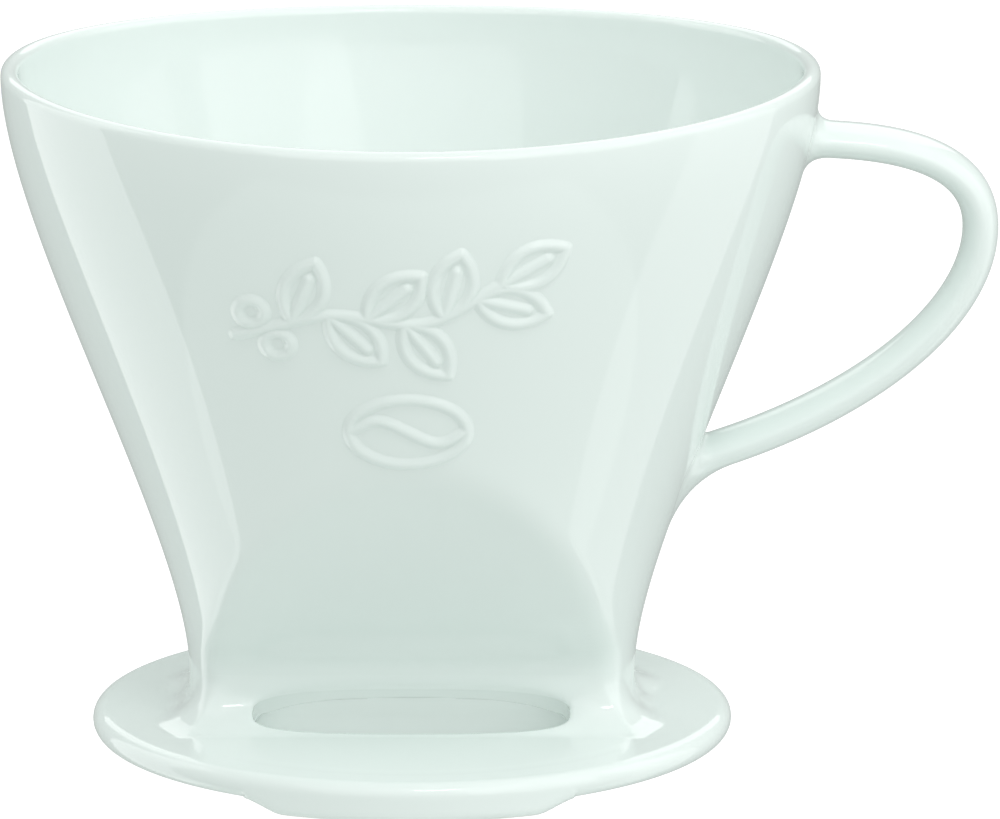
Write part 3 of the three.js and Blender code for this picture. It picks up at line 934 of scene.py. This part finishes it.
class DRIPPER_OT_handle(bpy.types.Operator):
    """Model the handle with its two flared joints"""

    bl_idname = "dripper.handle"
    bl_label = "Handle"

    def execute(self, context):
        skin = Skin(context.scene)
        around = 56
        rings = handle_rings(skin, context.scene.dripper_handle, around)
        body = bmesh.new()
        ring = bmesh.ops.create_circle(body, cap_ends=False, segments=around, radius=1)["verts"]
        body.verts.ensure_lookup_table()
        edges = body.edges[:]
        levels = [ring]
        for _ in range(len(rings) - 1):
            made = bmesh.ops.extrude_edge_only(body, edges=edges)["geom"]
            new = set(made)
            edges = [part for part in made if isinstance(part, bmesh.types.BMEdge)]
            edges = [edge for edge in edges if all(vertex in new for vertex in edge.verts)]
            levels.append([part for part in made if isinstance(part, bmesh.types.BMVert)])
        for level, places in zip(levels, rings):
            for vertex, place in zip(level, places):
                vertex.co = place
        rim = [edge for edge in body.edges if edge.is_boundary]
        bmesh.ops.holes_fill(body, edges=rim, sides=around)
        bmesh.ops.triangulate(body, faces=[face for face in body.faces if len(face.verts) > 4])
        bmesh.ops.recalc_face_normals(body, faces=body.faces[:])
        mesh = to_mesh(body, "porcelain_handle")
        finished("porcelain_handle", mesh, ["handle"], 60)
        return {"FINISHED"}


# ---- reliefs --------------------------------------------------------------------------


def curve_points(stops, count):
    """Even points on a smooth curve through the stops."""
    stops = np.array(stops)
    padded = np.vstack((2 * stops[0] - stops[1], stops, 2 * stops[-1] - stops[-2]))
    points = []
    for index in range(len(stops) - 1):
        before, start, end, after = padded[index:index + 4]
        control = (start, start + (end - before) / 6, end - (after - start) / 6, end)
        points.append(cubic(control, np.linspace(0, 1, 60)))
    return evenly(np.vstack(points), count)[1]


def turned_by(points, angle):
    """Rows of points, turned about the origin."""
    return points @ np.array([[cos(angle), sin(angle)], [-sin(angle), cos(angle)]])


def leaf_line(size, width, root, angle):
    """A leaf's outline and its vein."""
    share = np.linspace(0, 1, 50)
    upper = cubic(((0, 0), (0.3 * size, width), (0.75 * size, 0.85 * width), (size, 0)), share)
    lower = upper * (1, -1)
    vein = np.column_stack((np.linspace(0, 0.72 * size, 40), np.zeros(40)))
    return [turned_by(line, angle) + root for line in (upper, lower, vein)]


def ring_line(middle, radius_x, radius_z):
    """An oval line."""
    angles = np.linspace(0, 2 * pi, 400)
    oval = np.column_stack((radius_x * np.cos(angles), radius_z * np.sin(angles)))
    return oval + middle


def twig_lines(relief, middle):
    """A twig of leaves with two round berries near its lower end."""
    half = relief.leaf_width / 2
    leaf = relief.leaf_width / 4.4
    stops = (
        (-half, middle - 0.2 * half),
        (-0.45 * half, middle - 0.02 * half),
        (0.1 * half, middle - 0.06 * half),
        (half - leaf, middle + 0.18 * half),
    )
    twig = curve_points(stops, 200)
    lines = [twig]
    for index, share in enumerate(np.linspace(0.22, 0.9, 6)):
        place = int(share * (len(twig) - 1))
        heading = twig[place + 1] - twig[place - 1]
        side = -1 if index % 2 else 1
        angle = np.arctan2(heading[1], heading[0]) + side * 0.9
        lines += leaf_line(leaf - relief.stroke / 2, 0.36 * leaf, twig[place], angle)
    heading = twig[-1] - twig[-3]
    angle = np.arctan2(heading[1], heading[0])
    lines += leaf_line(leaf - relief.stroke / 2, 0.36 * leaf, twig[-1], angle)
    for index, place in enumerate((12, 32)):
        side = -1 if index else 1
        centre = twig[place] + np.array((0, side * 1.9 * relief.stroke))
        lines.append(ring_line(centre, 1.15 * relief.stroke, 1.15 * relief.stroke))
    return lines


def bean_lines(relief, middle):
    """An oval bean with its curved crease."""
    long = (relief.bean_length - relief.stroke) / 2
    short = (relief.bean_width - relief.stroke) / 2
    stops = (
        (-long, middle),
        (-long / 2.2, middle + short / 3),
        (long / 2.2, middle - short / 3),
        (long, middle),
    )
    return [ring_line((0, middle), long, short), curve_points(stops, 200)]


def relief_mesh(skin, relief, lines, name):
    """A thin skin on the front wall that rises along the lines and dips under it elsewhere."""
    points = np.vstack(lines)
    margin = relief.stroke
    low = points.min(0) - margin
    high = points.max(0) + margin
    pitch = 0.2 * MM
    counts = np.ceil((high - low) / pitch).astype(int)
    body = bmesh.new()
    bmesh.ops.create_grid(body, x_segments=int(counts[0]), y_segments=int(counts[1]), size=0.5)
    flat = np.array([vertex.co[:2] for vertex in body.verts])
    x, z = (low + (flat + 0.5) * (high - low)).T
    rise = np.full(len(x), -0.03 * MM)
    half = 0.72 * relief.stroke
    nearest = np.full(len(x), 1.0)
    for line in lines:
        for start in range(0, len(x), 20000):
            part = slice(start, start + 20000)
            aside = x[part, None] - line[None, :, 0]
            above = z[part, None] - line[None, :, 1]
            nearest[part] = np.minimum(nearest[part], np.hypot(aside, above).min(1))
    crown = 0.5 + 0.5 * np.cos(pi * np.clip(nearest / half, 0, 1))
    rise += relief.height * crown**0.8
    y = -farthest(lambda reach: skin.outside(x, -reach, z) < 0, len(z), skin.cone.rim_radius)
    places = skin.saddle(np.column_stack((x, y, z)))
    slope = slopes(skin.outside, x, y, z, 0.05 * MM)
    slope /= np.linalg.norm(slope, axis=1, keepdims=True)
    places = places + slope * rise[:, None]
    body.verts.ensure_lookup_table()
    body.verts.index_update()
    for vertex, place in zip(body.verts, places):
        vertex.co = place
    spare = [
        face for face in body.faces
        if all(nearest[vertex.index] > half + pitch for vertex in face.verts)
    ]
    bmesh.ops.delete(body, geom=spare, context="FACES")
    made = bmesh.ops.extrude_face_region(body, geom=body.faces[:], use_keep_orig=True)
    moved = [part for part in made["geom"] if isinstance(part, bmesh.types.BMVert)]
    bmesh.ops.translate(body, verts=moved, vec=(0, 0.5 * MM, 0))
    bmesh.ops.recalc_face_normals(body, faces=body.faces[:])
    return to_mesh(body, name)


class DRIPPER_OT_reliefs(bpy.types.Operator):
    """Model the raised twig and the raised bean on the front of the cone"""

    bl_idname = "dripper.reliefs"
    bl_label = "Reliefs"

    def execute(self, context):
        skin = Skin(context.scene)
        relief = context.scene.dripper_relief
        rim = skin.cone.rim_height
        twig = twig_lines(relief, rim - relief.leaf_drop)
        bean = bean_lines(relief, rim - relief.bean_drop)
        for name, node_name, lines in (
            ("raised_twig", "leaf_relief", twig),
            ("raised_bean", "bean_relief", bean),
        ):
            mesh = relief_mesh(skin, relief, lines, name)
            finished(name, mesh, [node_name], 70)
        return {"FINISHED"}


# ---- stage ----------------------------------------------------------------------------


def floor_white():
    """A matt surface that glows, so that it stays white under every light."""
    material = bpy.data.materials.new("floor_white")
    material.use_nodes = True
    shader = material.node_tree.nodes["Principled BSDF"]
    shader.inputs["Base Color"].default_value = (0.15, 0.15, 0.15, 1)
    shader.inputs["Roughness"].default_value = 0.9
    shader.inputs["Specular IOR Level"].default_value = 0.1
    shader.inputs["Emission Color"].default_value = (1, 1, 1, 1)
    shader.inputs["Emission Strength"].default_value = 1.0
    return material


def soft_light(name, turn, rise, distance, width, height, radiance, colour=(1, 1, 1)):
    """A panel that faces the dripper, turned from the front towards the handle and raised."""
    middle = Vector((0, 0, 0.06))
    turn, rise = radians(turn), radians(rise)
    direction = Vector((sin(turn) * cos(rise), -cos(turn) * cos(rise), sin(rise)))
    light = bpy.data.lights.new(name, "AREA")
    light.shape = "RECTANGLE"
    light.size = width
    light.size_y = height
    light.energy = radiance * pi * width * height
    light.color = colour
    lamp = bpy.data.objects.new(name, light)
    lamp.location = middle + direction * distance
    lamp.rotation_euler = (-direction).to_track_quat("-Z", "Y").to_euler()
    lamp.visible_camera = False
    bpy.context.scene.collection.objects.link(lamp)


class DRIPPER_OT_stage(bpy.types.Operator):
    """Set up the floor, the camera and the studio lights"""

    bl_idname = "dripper.stage"
    bl_label = "Stage"

    def execute(self, context):
        stage = context.scene.dripper_stage
        scene = context.scene
        body = bmesh.new()
        bmesh.ops.create_grid(body, x_segments=1, y_segments=1, size=stage.floor_size / 2)
        floor = bpy.data.objects.new("floor", to_mesh(body, "floor"))
        floor.data.materials.append(floor_white())
        scene.collection.objects.link(floor)
        floor.location.z = -0.02 * MM
        floor.visible_glossy = False
        floor.visible_diffuse = False
        floor.visible_shadow = False

        eye = Vector((stage.camera_aside, -stage.camera_distance, stage.camera_height))
        aim = Vector((stage.camera_aside, 0, stage.camera_aim))
        camera = bpy.data.cameras.new("camera")
        camera.lens = stage.lens
        camera.sensor_width = 36
        camera.clip_end = 50
        viewer = bpy.data.objects.new("camera", camera)
        viewer.location = eye
        viewer.rotation_euler = (aim - eye).to_track_quat("-Z", "Y").to_euler()
        scene.collection.objects.link(viewer)
        scene.camera = viewer

        world = bpy.data.worlds.new("studio")
        world.use_nodes = True
        backdrop = world.node_tree.nodes["Background"]
        backdrop.inputs["Color"].default_value = (*TINT, 1)
        backdrop.inputs["Strength"].default_value = 0.46
        scene.world = world
        scene.view_settings.view_transform = "Standard"

        soft_light("left_strip", -112, 0, 1.0, 0.73, 2.4, 1.15)
        soft_light("right_strip", 102, 0, 1.0, 0.65, 2.4, 0.65)
        soft_light("front", 0, 38, 2.2, 3.0, 2.6, 0.72)
        soft_light("front_right", 45, 22, 2.0, 1.8, 1.8, 0.85)
        soft_light("high_right", 50, 58, 2.0, 1.8, 1.8, 0.25)
        soft_light("right", 90, 45, 2.0, 1.8, 1.8, 0.4)
        soft_light("back", 180, 40, 2.0, 1.8, 1.8, 0.9)
        soft_light("under", 0, -75, 1.8, 4.5, 4.0, 0.43, TINT)
        soft_light("above", 0, 82, 1.9, 2.2, 2.2, 0.2)
        soft_light("sparkle", 12, 52, 1.6, 0.4, 0.1, 15)
        return {"FINISHED"}


# ---- panel ----------------------------------------------------------------------------


class DRIPPER_PT_panel(bpy.types.Panel):
    """The dripper's sizes, colours and pieces"""

    bl_label = "Porcelain Dripper"
    bl_idname = "DRIPPER_PT_panel"
    bl_space_type = "VIEW_3D"
    bl_region_type = "UI"
    bl_category = "Dripper"

    def draw(self, context):
        for operator in OPERATORS:
            self.layout.operator(operator.bl_idname)
        for name in GROUPS:
            box = self.layout.box()
            group = getattr(context.scene, name)
            for setting in group.bl_rna.properties:
                if not setting.is_readonly:
                    box.prop(group, setting.identifier)


GROUPS = {
    "dripper_cone": ConeSettings,
    "dripper_plate": PlateSettings,
    "dripper_handle": HandleSettings,
    "dripper_relief": ReliefSettings,
    "dripper_glaze": GlazeSettings,
    "dripper_stage": StageSettings,
}
OPERATORS = (
    DRIPPER_OT_stage,
    DRIPPER_OT_funnel,
    DRIPPER_OT_base_plate,
    DRIPPER_OT_handle,
    DRIPPER_OT_reliefs,
)
CLASSES = (*GROUPS.values(), *OPERATORS, DRIPPER_PT_panel)


def register():
    for made in CLASSES:
        bpy.utils.register_class(made)
    for name, group in GROUPS.items():
        setattr(bpy.types.Scene, name, PointerProperty(type=group))


def unregister():
    for name in GROUPS:
        delattr(bpy.types.Scene, name)
    for made in reversed(CLASSES):
        bpy.utils.unregister_class(made)


def main():
    register()
    bpy.ops.dripper.stage()
    bpy.ops.dripper.funnel()
    bpy.ops.dripper.base_plate()
    bpy.ops.dripper.handle()
    bpy.ops.dripper.reliefs()


if __name__ == "__main__":
    main()
